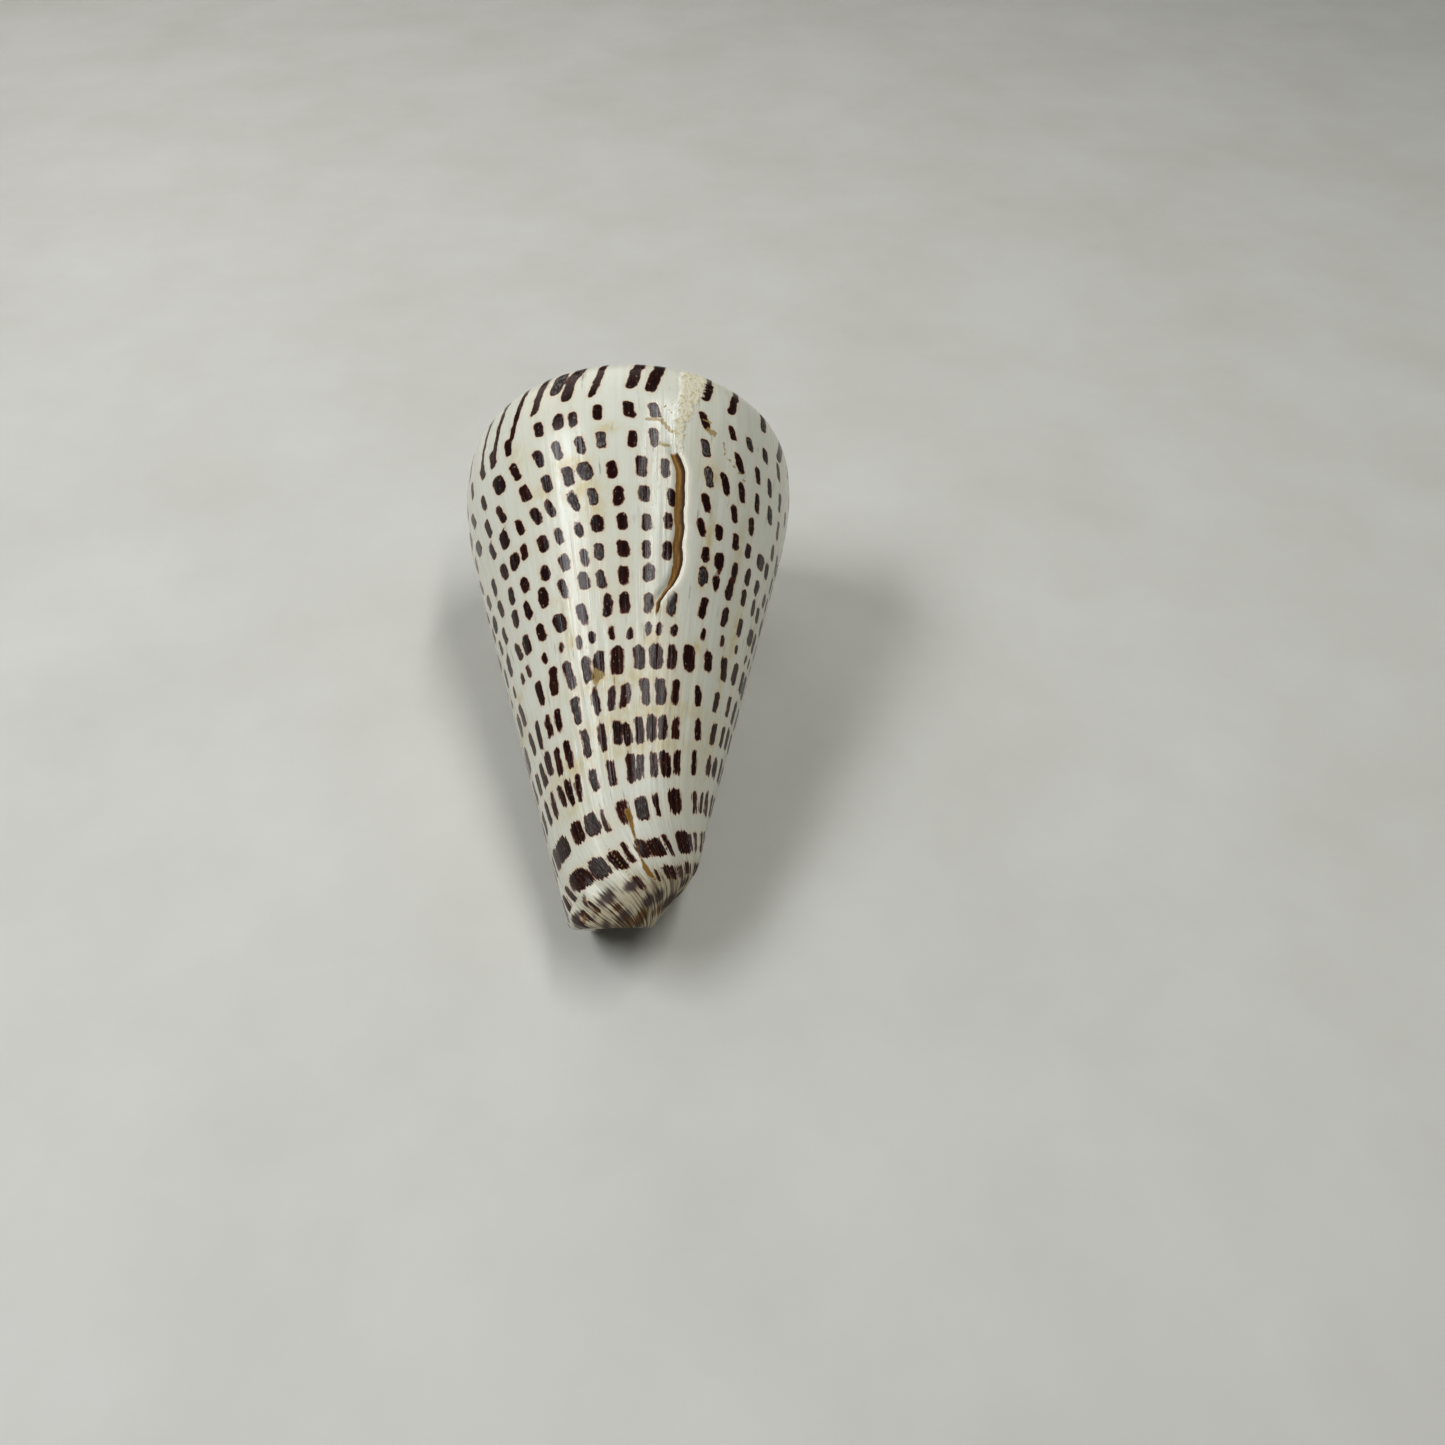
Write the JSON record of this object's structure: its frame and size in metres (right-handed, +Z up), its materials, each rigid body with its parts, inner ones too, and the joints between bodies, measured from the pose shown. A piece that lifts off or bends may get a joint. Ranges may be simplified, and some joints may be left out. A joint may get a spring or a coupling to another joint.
{
  "type": "cone shell",
  "caption": "Large heavy cone shell with a wide rounded shoulder, a low stepped spire, a long narrow opening and a healed break down its top.",
  "frame": {"origin": "under the middle of the bounding box, on the surface the shell rests on", "axes": "+Y toward the spire along the shell's length, +Z up, the opening underneath and toward -X"},
  "size_m": [0.062, 0.1, 0.0579],
  "materials": {
    "porcelain": "polished ivory shell with spiral rows of dark brown spots"
  },
  "bodies": {
    "root": {"shell": "porcelain"}
  },
  "joints": []
}
